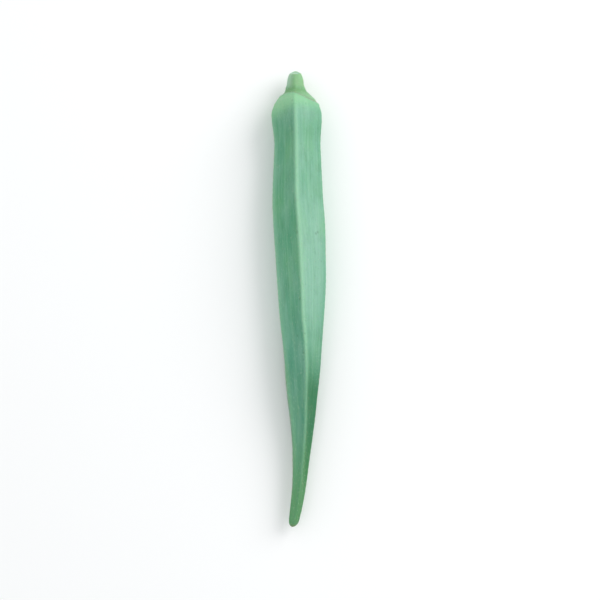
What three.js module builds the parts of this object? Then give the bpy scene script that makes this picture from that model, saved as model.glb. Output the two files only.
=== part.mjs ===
// A fresh okra pod, picked with a short stub of its stalk and lying on its side.
// Millimetres, +Z up. The pod runs along Y with the stalk at +Y and the tip at -Y, and rests at Z = 0
// on two of its five ridges. Places along the pod are millimetres from the end of the stalk, and
// angles round it are degrees from straight up, growing towards +X.

import * as THREE from 'three';
import { mergeVertices } from 'three/addons/utils/BufferGeometryUtils.js';

// Whole pod
const LENGTH = 140;
const SKIN_COLOUR = '#67a37e';
const SKIN_ROUGHNESS = 0.62;

// Five ridges, where they stand round the pod and how high each is beside the average
const CREST_ANGLES = [0, 71, 148, 220, 288];
const CREST_SCALES = [1.0, 1.01, 0.99, 1.01, 0.985];

// Distance from the middle line out to the ridges, [place, radius]
const CREST_RADII = [
  [0, 0.95], [0.6, 1.25], [1.2, 1.6], [2, 2.0], [3.1, 2.36], [5.4, 2.72], [7.2, 3.42], [8.3, 4.38],
  [9.4, 5.34], [10.8, 6.38], [12.2, 7.08], [13.6, 7.6], [15.2, 7.95], [17, 7.94], [20, 7.62],
  [24.3, 7.28], [30.4, 7.5], [39.6, 7.87], [48.8, 8.1], [58, 7.87],
  [67.2, 7.57], [76.5, 6.96], [85.7, 6.14], [94.9, 5.4], [101, 4.72], [107.2, 3.94],
  [113.3, 3.2], [119.4, 2.6], [125.6, 2.2], [131.7, 1.92], [135.5, 1.74], [138, 1.56], [140, 1.5],
];

// Sideways course of the middle line, [place, offset towards +X]: the tip hooks to one side
const SWAY = [
  [0, -1.18], [5.5, -1.18], [7, -1.05], [9, -0.95], [14, -0.72], [24, -0.45], [40, -0.4], [49, 0],
  [58, 0.35], [70, 0.65], [85, 0.56], [101, 0.56], [108, 0.72], [114, 0.65], [120, 0.38],
  [126, 0], [132, -0.65], [136, -1.28], [140, -1.95],
];

// Turn of the ridges along the pod, [place, degrees]
const TWIST = [[0, -5], [24, -5], [58, -1.5], [76, 2.5], [86, 11], [98, 17.5], [140, 20]];

// Air under the lowest ridge, [place, gap]: the stalk and the tip lift clear
const LIFT = [
  [0, 4.3], [5, 3.8], [7, 2.8], [9, 1.4], [12, 0.7], [14, 0.55], [24, 0.3], [40, 0], [78, 0],
  [95, 0.5], [110, 1.4], [125, 1.9], [140, 2.1],
];

// The height of the middle line is evened out over this length, less so near both ends
const LIFT_SMOOTHING = 7;
const STALK_EVENING = 30;
const TIP_EVENING = 15;
const LEAST_EVENING = 0.1;

// How far the section is a five-sided one, [place, share]: 0 is round, 1 is fully ridged
const RIDGE_SHARE = [
  [0, 0.1], [5, 0.2], [7, 0.4], [10, 0.55], [14, 0.8], [20, 1], [100, 1], [118, 0.9], [130, 0.7],
  [140, 0.45],
];
const CORNER_SHARPNESS = 20;

// Relief on the ridges and facets
const RIB_HEIGHT = 0.14;
const RIB_WIDTH = 0.7;
const FACET_HOLLOW = 0.16;
const HOLLOW_FULL_RADIUS = 7;
const SWELL_HEIGHT = 0.05;
const SWELL_LENGTH = 13;
const SWELL_SHIFT = 2.1;

// Scar ring that the calyx leaves on the cap: it rises towards the stalk over the top ridge and a
// little at each other ridge, and lies further from the stalk on the +X side
const RING_PLACE = 9.4;
const RING_SAG = 1.3;
const RING_TILT = 1.8;
const RING_LOBES = 0.1;
const RING_HEIGHT = 0.2;
const RING_WIDTH = 0.55;
const GROOVE_DEPTH = 0.16;
const GROOVE_OFFSET = 0.95;

// The mesh rows follow the wave of the scar ring between the outer two of these places, and
// follow it fully between the inner two
const RING_ROWS = [5.5, 9.8, 10.3, 22];

// Small scars of the outer calyx round the foot of the stalk
const SCAR_COUNT = 9;
const SCAR_PLACE = 6.1;
const SCAR_HEIGHT = 0.13;
const SCAR_LENGTH = 0.5;

// Slanting cut across the stalk, its upper lip further from the end than its lower lip
const CUT_RADIUS = 1.5;
const CUT_LEAN = 34;
const CUT_FADE = 6;
const CUT_SINK = 0.22;
const CUT_RINGS = [0, 0.34, 0.62, 0.84];
const RIM_RINGS = [[0, 0.93], [0.1, 0.98]];
const FIRST_ROW = 0.25;

// Rounded end of the tip
const TIP_ROUND_START = 137.8;
const TIP_STEPS = 6;

// Flat spots where the two lowest ridges bear on the surface
const REST_FLAT = 0.15;

// Mesh spacing round and along the pod, [place, step]
const COLUMNS_PER_FACET = 9;
const CREST_CROWDING = 0.45;
const ROW_STEPS = [
  [0, 0.4], [2, 0.6], [6, 0.45], [8, 0.36], [11.5, 0.36], [13, 0.6], [15, 1], [22, 2.3],
  [60, 2.8], [110, 2.4], [128, 1.8], [136, 1],
];

const radians = THREE.MathUtils.degToRad;

// Smooth curve through [place, value] stations that never overshoots them.
function smoothCurve(stations) {
  const slopes = stations.slice(1).map(([x, y], i) => (y - stations[i][1]) / (x - stations[i][0]));
  const tangents = stations.map((_, i) => {
    if (i === 0) return slopes[0];
    if (i === slopes.length) return slopes[i - 1];
    const [before, after] = [slopes[i - 1], slopes[i]];
    return before * after <= 0 ? 0 : (2 * before * after) / (before + after);
  });
  return (x) => {
    const last = stations.length - 1;
    if (x <= stations[0][0]) return stations[0][1];
    if (x >= stations[last][0]) return stations[last][1];
    const i = stations.findIndex(([end]) => end > x) - 1;
    const [x0, y0] = stations[i];
    const [x1, y1] = stations[i + 1];
    const span = x1 - x0;
    const t = (x - x0) / span;
    return (2 * t ** 3 - 3 * t ** 2 + 1) * y0 + (t ** 3 - 2 * t ** 2 + t) * span * tangents[i]
      + (3 * t ** 2 - 2 * t ** 3) * y1 + (t ** 3 - t ** 2) * span * tangents[i + 1];
  };
}

// Height 1 at the middle, falling off to both sides over the width.
function bell(distance, width) {
  return Math.exp(-((distance / width) ** 2));
}

const crestRadius = smoothCurve(CREST_RADII);
const sway = smoothCurve(SWAY);
const twist = smoothCurve(TWIST);
const lift = smoothCurve(LIFT);
const ridgeShare = smoothCurve(RIDGE_SHARE);
const rowStep = smoothCurve(ROW_STEPS);

// The five facets: where each starts, how wide it is, which way it faces and how far out it lies.
const facets = CREST_ANGLES.map((start, i) => {
  const next = (i + 1) % CREST_ANGLES.length;
  const span = (CREST_ANGLES[next] - start + 360) % 360;
  const [a, b] = [radians(start), radians(start + span)];
  const edge = new THREE.Vector2(
    CREST_SCALES[next] * Math.sin(b) - CREST_SCALES[i] * Math.sin(a),
    CREST_SCALES[next] * Math.cos(b) - CREST_SCALES[i] * Math.cos(a),
  );
  const facing = Math.atan2(-edge.y, edge.x);
  const distance = CREST_SCALES[i] * Math.cos(facing - a);
  return { start, span, facing, distance };
});

// Radius of the ridged section at an angle, where an untwisted ridge has radius 1.
function sectionRadius(angle) {
  const total = facets.reduce((sum, { facing, distance }) => {
    const reach = Math.max(0, Math.cos(radians(angle) - facing)) / distance;
    return sum + reach ** CORNER_SHARPNESS;
  }, 0);
  return (total / 2) ** (-1 / CORNER_SHARPNESS);
}

// The facet that an angle falls on, and how far across it, 0 to 1.
function facetAt(angle) {
  const turned = ((angle % 360) + 360) % 360;
  const index = facets.findLastIndex(({ start }) => start <= turned + 1e-9);
  const { start, span } = facets[index];
  return { index, across: (turned - start) / span, span };
}

// Place of the calyx scar at an angle round the pod.
function ringPlace(angle) {
  const { across } = facetAt(angle - twist(RING_PLACE));
  const upward = Math.max(0, Math.cos(radians(angle)));
  return RING_PLACE + RING_SAG * (1 - upward ** 2) + RING_TILT * Math.sin(radians(angle))
    + RING_LOBES * Math.sin(Math.PI * across) ** 2;
}

// Outer radius of the pod at a place along it and an angle round it.
function outerRadius(place, angle) {
  const local = angle - twist(place);
  const { index, across, span } = facetAt(local);
  const share = ridgeShare(place);
  const crest = crestRadius(place);
  const radius = crest * (1 + (sectionRadius(local) - 1) * share);
  const fromCrest = radians(Math.min(across, 1 - across) * span) * crest;
  const rib = RIB_HEIGHT * bell(fromCrest, RIB_WIDTH) * share;
  const fullness = share * Math.min(1, crest / HOLLOW_FULL_RADIUS);
  const hollow = FACET_HOLLOW * Math.sin(Math.PI * across) ** 2 * fullness;
  const wave = Math.sin((2 * Math.PI * place) / SWELL_LENGTH + SWELL_SHIFT * index);
  const swell = SWELL_HEIGHT * share * wave * Math.sin(Math.PI * across);
  const fromRing = place - ringPlace(angle);
  const ring = RING_HEIGHT * bell(fromRing, RING_WIDTH)
    - GROOVE_DEPTH * bell(fromRing + GROOVE_OFFSET, RING_WIDTH);
  const scarWave = Math.max(0, Math.cos(radians(angle * SCAR_COUNT)));
  const scar = SCAR_HEIGHT * scarWave * bell(place - SCAR_PLACE, SCAR_LENGTH);
  return radius + rib - hollow + swell + ring + scar;
}

// How far the lowest ridge reaches below the middle line.
function lowestReach(place) {
  const reaches = CREST_ANGLES.map((angle, i) => {
    const turned = radians(angle + twist(place));
    return -CREST_SCALES[i] * crestRadius(place) * Math.cos(turned);
  });
  return Math.max(...reaches);
}

// Height of the middle line: the lowest ridge keeps its lift over the surface, evened out along
// the pod where the lowest ridge changes. The evening out fades towards both ends, where the pod
// tapers fast.
function middleHeight(place) {
  const fromEnd = Math.min(place / STALK_EVENING, (LENGTH - place) / TIP_EVENING);
  const reach = LIFT_SMOOTHING * THREE.MathUtils.clamp(fromEnd, LEAST_EVENING, 1);
  const heights = [-1, -0.5, 0, 0.5, 1].map((share) => {
    const near = THREE.MathUtils.clamp(place + share * reach, 0, LENGTH);
    return lift(near) + lowestReach(near);
  });
  return heights.reduce((sum, height) => sum + height, 0) / heights.length;
}

// Angle of each mesh column round the pod: columns crowd towards the ridges.
function columnAngles() {
  const angles = facets.flatMap(({ start, span }) =>
    Array.from({ length: COLUMNS_PER_FACET }, (_, i) => {
      const t = i / COLUMNS_PER_FACET;
      return start + span * (t - (CREST_CROWDING * Math.sin(2 * Math.PI * t)) / (2 * Math.PI));
    }));
  return [...angles, angles[0] + 360];
}

// Mesh rows from the tip to the middle of the cut: place along the pod, and share of the radius.
function meshRows() {
  const rows = CUT_RINGS.map((share) => ({ place: 0, share, onCut: true }));
  RIM_RINGS.forEach(([place, share]) => rows.push({ place, share }));
  for (let place = FIRST_ROW; place < TIP_ROUND_START; place += rowStep(place)) {
    rows.push({ place, share: 1 });
  }
  for (let i = 0; i <= TIP_STEPS; i += 1) {
    const turn = (Math.PI / 2) * (i / TIP_STEPS);
    const place = TIP_ROUND_START + (LENGTH - TIP_ROUND_START) * Math.sin(turn);
    rows.push({ place, share: i === TIP_STEPS ? 0 : Math.cos(turn) });
  }
  return rows.reverse();
}

// One point of the surface. The slanting cut pushes the rows of the stalk back more towards its
// upper side, and the rows round the cap follow the wave of the calyx scar.
function surfacePoint(row, columnAngle) {
  const angle = columnAngle + twist(row.place);
  const fade = 1 - THREE.MathUtils.smoothstep(row.place, 0, CUT_FADE);
  const slant = CUT_RADIUS * Math.tan(radians(CUT_LEAN));
  const cutShift = slant * (1 + row.share * Math.cos(radians(angle))) * fade;
  const nearRing = THREE.MathUtils.smoothstep(row.place, RING_ROWS[0], RING_ROWS[1])
    * (1 - THREE.MathUtils.smoothstep(row.place, RING_ROWS[2], RING_ROWS[3]));
  const ringShift = (ringPlace(angle) - RING_PLACE - RING_SAG / 2) * nearRing;
  const sink = row.onCut ? CUT_SINK * (1 - row.share ** 2) : 0;
  const place = row.place + cutShift + ringShift + sink;
  const radius = row.share * outerRadius(place, angle);
  return new THREE.Vector3(
    sway(place) + radius * Math.sin(radians(angle)),
    LENGTH / 2 - place,
    middleHeight(place) + radius * Math.cos(radians(angle)),
  );
}

// A lathe gives the closed skin of rows and columns, and each of its points is then moved to
// where the pod's surface is.
function podGeometry() {
  const rows = meshRows();
  const columns = columnAngles();
  const profile = rows.map(({ place, share }) => (
    new THREE.Vector2(share * crestRadius(place), LENGTH / 2 - place)));
  const blank = new THREE.LatheGeometry(profile, columns.length - 1);
  const points = blank.getAttribute('position');
  for (let i = 0; i < points.count; i += 1) {
    const column = Math.floor(i / rows.length) % (columns.length - 1);
    const { x, y, z } = surfacePoint(rows[i % rows.length], columns[column]);
    points.setXYZ(i, x, y, z);
  }
  blank.deleteAttribute('normal');
  blank.deleteAttribute('uv');
  const skin = mergeVertices(blank);
  restOnSurface(skin);
  return skin;
}

// Sets the pod down: the lowest ridges are pressed flat by a hair where they bear, and the pod is
// centred over the origin.
function restOnSurface(skin) {
  skin.computeBoundingBox();
  const floor = skin.boundingBox.min.z + REST_FLAT;
  const points = skin.getAttribute('position');
  for (let i = 0; i < points.count; i += 1) {
    points.setZ(i, Math.max(points.getZ(i), floor));
  }
  skin.computeBoundingBox();
  const middle = skin.boundingBox.getCenter(new THREE.Vector3());
  skin.translate(-middle.x, -middle.y, -floor);
  skin.computeVertexNormals();
}

const skinMaterial = new THREE.MeshStandardMaterial({
  color: SKIN_COLOUR,
  roughness: SKIN_ROUGHNESS,
  metalness: 0,
});

const okraPod = new THREE.Mesh(podGeometry(), skinMaterial);
okraPod.name = 'okra_pod';

const pod = new THREE.Group();
pod.add(okraPod);

export default pod;
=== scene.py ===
"""A fresh okra pod lying on its side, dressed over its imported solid.

The pod's skin is one fine mesh of the same form as the solid, with its ribs, streaks, calyx scar,
cut stalk and tip. Short hairs stand on it. A pale floor, soft light and a camera above finish it.
Lengths are millimetres until a mesh is placed, and metres from there on.
"""

from __future__ import annotations

import logging
import math
from dataclasses import dataclass, field
from enum import Enum

import bpy
import numpy as np
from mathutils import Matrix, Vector


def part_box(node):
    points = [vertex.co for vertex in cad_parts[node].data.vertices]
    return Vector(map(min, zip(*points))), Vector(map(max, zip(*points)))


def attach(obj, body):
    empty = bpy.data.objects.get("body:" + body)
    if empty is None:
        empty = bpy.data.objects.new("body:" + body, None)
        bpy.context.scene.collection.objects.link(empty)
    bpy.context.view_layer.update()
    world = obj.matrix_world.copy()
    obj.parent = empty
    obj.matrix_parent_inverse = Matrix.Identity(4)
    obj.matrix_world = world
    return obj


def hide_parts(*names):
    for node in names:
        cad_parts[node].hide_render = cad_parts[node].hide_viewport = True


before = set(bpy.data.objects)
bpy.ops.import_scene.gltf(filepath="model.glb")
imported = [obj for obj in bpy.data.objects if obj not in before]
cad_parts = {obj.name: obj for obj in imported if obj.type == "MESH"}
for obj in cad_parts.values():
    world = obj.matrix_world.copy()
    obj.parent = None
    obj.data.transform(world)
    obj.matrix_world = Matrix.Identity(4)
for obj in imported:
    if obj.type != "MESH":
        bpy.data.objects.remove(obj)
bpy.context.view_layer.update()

MM = 0.001
POD_NODE = "okra_pod"

# An angle this far short of a ridge counts as at it, in degrees.
ANGLE_SLACK = 1e-9
# Least size that a direction is divided by, so that none is divided by nought.
LEAST_SIZE = 1e-15
# Share that each finer octave of the noises keeps.
NOISE_ROUGHNESS = 0.55
# Sockets of the node that mixes two colours, by number because their names repeat.
MIX_SHARE = 0
MIX_UNDER = 6
MIX_OVER = 7
MIX_RESULT = 2

LOG = logging.getLogger("okra_pod")

Stations = tuple[tuple[float, float], ...]


class Zone(Enum):
    """Material index of each kind of surface on the pod's skin."""

    SKIN = 0
    CUT = 1


class Trait(Enum):
    """What the materials read off the skin, by the name of its attribute."""

    PLACE = "place"
    RIB = "rib"
    RIB_TINT = "rib_tint"
    MIDLINE = "midline"
    STREAK = "streak"
    BLOOM_AND_PAINTED_LIGHT = "bloom"
    THIN_BLOOM = "thin_bloom"
    STALK = "stalk"
    STALK_SIDE = "stalk_side"
    STALK_FOOT = "stalk_foot"
    RECEPTACLE = "receptacle"
    SCAR = "scar"
    CAP_BAND = "cap_band"
    DEEPENING_AND_SHADE = "deep_green_and_shade"
    MARK = "mark"
    CUT_REACH = "cut_reach"


def linear(hex_colour: str) -> tuple[float, float, float, float]:
    """Turns an sRGB hex colour into linear light.

    Args:
        hex_colour: Six hex digits after a hash sign.

    Returns:
        Red, green, blue and an alpha of one.
    """
    channels = [int(hex_colour[i : i + 2], 16) / 255 for i in (1, 3, 5)]
    light = [c / 12.92 if c <= 0.04045 else ((c + 0.055) / 1.055) ** 2.4 for c in channels]
    return (*light, 1.0)


def bell(distance: np.ndarray, width: float) -> np.ndarray:
    """Height one at the middle, falling off to both sides over the width."""
    return np.exp(-((distance / width) ** 2))


def smoothstep(value: np.ndarray, low: float, high: float) -> np.ndarray:
    """Eases from nought at the low value to one at the high value."""
    t = np.clip((value - low) / (high - low), 0, 1)
    return t * t * (3 - 2 * t)


class SmoothCurve:
    """A curve through stations along the pod that never overshoots them."""

    def __init__(self, stations: Stations) -> None:
        """Works out a slope at each station.

        Args:
            stations: Pairs of place and value, in order of place.
        """
        self.places, self.values = np.array(stations, dtype=float).T
        slopes = np.diff(self.values) / np.diff(self.places)
        before, after = slopes[:-1], slopes[1:]
        total = np.where(before + after == 0, 1, before + after)
        inner = np.where(before * after <= 0, 0, 2 * before * after / total)
        self.slopes = np.concatenate((slopes[:1], inner, slopes[-1:]))

    def __call__(self, place: np.ndarray) -> np.ndarray:
        """Reads the curve.

        Args:
            place: Places along the pod.

        Returns:
            The curve's value at each place.
        """
        x = np.clip(place, self.places[0], self.places[-1])
        i = np.clip(np.searchsorted(self.places, x, side="right") - 1, 0, len(self.places) - 2)
        span = self.places[i + 1] - self.places[i]
        t = (x - self.places[i]) / span
        start = (2 * t**3 - 3 * t**2 + 1) * self.values[i]
        leave = (t**3 - 2 * t**2 + t) * span * self.slopes[i]
        end = (3 * t**2 - 2 * t**3) * self.values[i + 1]
        arrive = (t**3 - t**2) * span * self.slopes[i + 1]
        return start + leave + end + arrive


@dataclass(frozen=True)
class PodForm:
    """The pod's shape, in millimetres and degrees.

    Places run from the stalk's cut to the tip, and angles from straight up towards +X.
    """

    length: float = 140
    crest_angles: tuple[float, ...] = (0, 71, 148, 220, 288)
    crest_scales: tuple[float, ...] = (1.0, 1.01, 0.99, 1.01, 0.985)
    corner_sharpness: float = 20
    crest_radius: SmoothCurve = SmoothCurve((
        (0, 0.95), (0.6, 1.25), (1.2, 1.6), (2, 2.0), (3.1, 2.36), (5.4, 2.72), (7.2, 3.42),
        (8.3, 4.38), (9.4, 5.34), (10.8, 6.38), (12.2, 7.08), (13.6, 7.6), (15.2, 7.95), (17, 7.94),
        (20, 7.62), (24.3, 7.28), (30.4, 7.5), (39.6, 7.87), (48.8, 8.1), (58, 7.87),
        (67.2, 7.57), (76.5, 6.96), (85.7, 6.14), (94.9, 5.4), (101, 4.72), (107.2, 3.94),
        (113.3, 3.2), (119.4, 2.6), (125.6, 2.2), (131.7, 1.92), (135.5, 1.74), (138, 1.56),
        (140, 1.5),
    ))
    sway: SmoothCurve = SmoothCurve((
        (0, -1.18), (5.5, -1.18), (7, -1.05), (9, -0.95), (14, -0.72), (24, -0.45), (40, -0.4),
        (49, 0), (58, 0.35), (70, 0.65), (85, 0.56), (101, 0.56), (108, 0.72), (114, 0.65),
        (120, 0.38), (126, 0), (132, -0.65), (136, -1.28), (140, -1.95),
    ))
    twist: SmoothCurve = SmoothCurve((
        (0, -5), (24, -5), (58, -1.5), (76, 2.5), (86, 11), (98, 17.5), (140, 20),
    ))
    lift: SmoothCurve = SmoothCurve((
        (0, 4.3), (5, 3.8), (7, 2.8), (9, 1.4), (12, 0.7), (14, 0.55), (24, 0.3), (40, 0), (78, 0),
        (95, 0.5), (110, 1.4), (125, 1.9), (140, 2.1),
    ))
    lift_smoothing: float = 7
    stalk_evening: float = 30
    tip_evening: float = 15
    least_evening: float = 0.1
    ridge_share: SmoothCurve = SmoothCurve((
        (0, 0.1), (5, 0.2), (7, 0.4), (10, 0.55), (14, 0.8), (20, 1), (100, 1), (118, 0.9),
        (130, 0.7), (140, 0.45),
    ))
    rib_height: float = 0.14
    rib_width: float = 0.7
    facet_hollow: float = 0.16
    hollow_full_radius: float = 7
    swell_height: float = 0.05
    swell_length: float = 13
    swell_shift: float = 2.1
    ring_place: float = 9.4
    ring_sag: float = 1.3
    ring_tilt: float = 1.8
    ring_lobes: float = 0.1
    ring_height: float = 0.2
    ring_width: float = 0.55
    groove_depth: float = 0.16
    groove_offset: float = 0.95
    ring_rows_start: tuple[float, float] = (5.5, 9.8)
    ring_rows_end: tuple[float, float] = (10.3, 22)
    scar_count: int = 9
    scar_place: float = 6.1
    scar_height: float = 0.13
    scar_length: float = 0.5
    cut_radius: float = 1.5
    cut_lean: float = 34
    cut_fade: float = 6
    cut_sink: float = 0.22
    tip_round_start: float = 137.8
    rest_flat: float = 0.15

    def facets(self) -> tuple[np.ndarray, np.ndarray, np.ndarray, np.ndarray]:
        """Works out the five facets between the ridges.

        Returns:
            Where each starts, how wide it is, which way it faces and how far out it lies.
        """
        start = np.array(self.crest_angles, dtype=float)
        scale = np.array(self.crest_scales)
        span = (np.roll(start, -1) - start) % 360
        a, b = np.radians(start), np.radians(start + span)
        far = np.roll(scale, -1)
        edge_x = far * np.sin(b) - scale * np.sin(a)
        edge_z = far * np.cos(b) - scale * np.cos(a)
        facing = np.arctan2(-edge_z, edge_x)
        return start, span, facing, scale * np.cos(facing - a)

    def section_radius(self, angle: np.ndarray) -> np.ndarray:
        """Works out the ridged section, whose radius is one at an average ridge.

        Two facets meet at a ridge, so the sum over all facets is halved.

        Args:
            angle: Untwisted angles in degrees.

        Returns:
            The section's radius at each angle.
        """
        _, _, facing, distance = self.facets()
        total = np.zeros_like(angle)
        for face, depth in zip(facing, distance):
            reach = np.maximum(0, np.cos(np.radians(angle) - face)) / depth
            total = total + reach**self.corner_sharpness
        return (total / 2) ** (-1 / self.corner_sharpness)

    def facet_at(self, angle: np.ndarray) -> tuple[np.ndarray, np.ndarray, np.ndarray]:
        """Finds the facet under each untwisted angle.

        Args:
            angle: Untwisted angles in degrees.

        Returns:
            The facet's number, how far across it from 0 to 1, and its width in degrees.
        """
        start, span, _, _ = self.facets()
        turned = np.mod(angle, 360)
        index = np.searchsorted(start, turned + ANGLE_SLACK, side="right") - 1
        return index, (turned - start[index]) / span[index], span[index]

    def ring_at(self, angle: np.ndarray) -> np.ndarray:
        """Finds the calyx scar, which drops away from the top, leans and bows at each facet.

        Args:
            angle: Angles round the pod in degrees.

        Returns:
            The scar's place along the pod at each angle.
        """
        _, across, _ = self.facet_at(angle - self.twist(self.ring_place))
        turn = np.radians(angle)
        sag = self.ring_sag * (1 - np.maximum(0, np.cos(turn)) ** 2) + self.ring_tilt * np.sin(turn)
        return self.ring_place + sag + self.ring_lobes * np.sin(np.pi * across) ** 2

    def beside_ridges(
        self, local: np.ndarray, place: np.ndarray
    ) -> tuple[np.ndarray, np.ndarray]:
        """Measures over the surface how far each point lies from a ridge and from a midline.

        Args:
            local: Untwisted angles in degrees.
            place: Places along the pod.

        Returns:
            The distance to the nearest ridge and to the middle of the facet.
        """
        _, across, span = self.facet_at(local)
        crest = self.crest_radius(place)
        from_ridge = np.radians(np.minimum(across, 1 - across) * span) * crest
        return from_ridge, np.radians(np.abs(across - 0.5) * span) * crest

    def outer_radius(self, place: np.ndarray, angle: np.ndarray) -> np.ndarray:
        """Outer radius of the pod.

        Args:
            place: Places along the pod.
            angle: Angles round it.

        Returns:
            The distance from the middle line to the surface.
        """
        local = angle - self.twist(place)
        index, across, _ = self.facet_at(local)
        from_ridge, _ = self.beside_ridges(local, place)
        share = self.ridge_share(place)
        crest = self.crest_radius(place)
        radius = crest * (1 + (self.section_radius(local) - 1) * share)
        rib = self.rib_height * bell(from_ridge, self.rib_width) * share
        fullness = share * np.minimum(1, crest / self.hollow_full_radius)
        hollow = self.facet_hollow * np.sin(np.pi * across) ** 2 * fullness
        wave = np.sin(2 * np.pi * place / self.swell_length + self.swell_shift * index)
        swell = self.swell_height * share * wave * np.sin(np.pi * across)
        from_ring = place - self.ring_at(angle)
        ring = self.ring_height * bell(from_ring, self.ring_width)
        groove = self.groove_depth * bell(from_ring + self.groove_offset, self.ring_width)
        scars = np.maximum(0, np.cos(np.radians(angle * self.scar_count)))
        scar = self.scar_height * scars * bell(place - self.scar_place, self.scar_length)
        return radius + rib - hollow + swell + ring - groove + scar

    def lowest_reach(self, place: np.ndarray) -> np.ndarray:
        """Works out how far the lowest ridge reaches below the middle line.

        Args:
            place: Places along the pod.

        Returns:
            The reach at each place.
        """
        reaches = [
            -scale * self.crest_radius(place) * np.cos(np.radians(angle + self.twist(place)))
            for angle, scale in zip(self.crest_angles, self.crest_scales)
        ]
        return np.maximum.reduce(reaches)

    def middle_height(self, place: np.ndarray) -> np.ndarray:
        """Works out the height of the middle line, evened out where the lowest ridge changes.

        Args:
            place: Places along the pod.

        Returns:
            The height at each place.
        """
        from_end = np.minimum(place / self.stalk_evening, (self.length - place) / self.tip_evening)
        reach = self.lift_smoothing * np.clip(from_end, self.least_evening, 1)
        heights = []
        for share in (-1, -0.5, 0, 0.5, 1):
            near = np.clip(place + share * reach, 0, self.length)
            heights.append(self.lift(near) + self.lowest_reach(near))
        return np.mean(heights, axis=0)


@dataclass(frozen=True)
class FineRelief:
    """Surface detail of the skin that is too fine for the solid, its lengths in millimetres."""

    seed: int = 11
    streak_waves: int = 26
    streak_counts: tuple[int, int] = (28, 96)
    streak_drift: float = 1.4
    drift_lengths: tuple[float, float] = (9, 26)
    fade_lengths: tuple[float, float] = (5, 18)
    streak_height: float = 0.016
    streak_full_radius: float = 6
    stalk_groove_height: float = 0.05
    suture_depth: float = 0.05
    suture_width: float = 0.34
    bead_height: float = 0.025
    bead_length: float = 1.9
    bead_width: float = 0.6
    pit_depth: float = 0.06
    pit_narrowing: float = 1.3

    def streaks(self, local: np.ndarray, place: np.ndarray) -> np.ndarray:
        """Lengthwise streaks that follow the ridges and wander slowly.

        Args:
            local: Untwisted angles in degrees.
            place: Places along the pod.

        Returns:
            A height of about one at most either way.
        """
        draw = np.random.default_rng(self.seed)
        total = np.zeros(np.broadcast(local, place).shape)
        for _ in range(self.streak_waves):
            count = draw.integers(*self.streak_counts)
            phase, drift_phase, fade_phase = draw.uniform(0, 2 * math.pi, 3)
            drift_length = draw.uniform(*self.drift_lengths)
            fade_length = draw.uniform(*self.fade_lengths)
            drift = self.streak_drift * np.sin(place / drift_length + drift_phase)
            fade = 0.5 + 0.5 * np.sin(place / fade_length + fade_phase)
            total = total + fade * np.cos(np.radians(local) * count + phase + drift)
        return total / math.sqrt(self.streak_waves)


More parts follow.
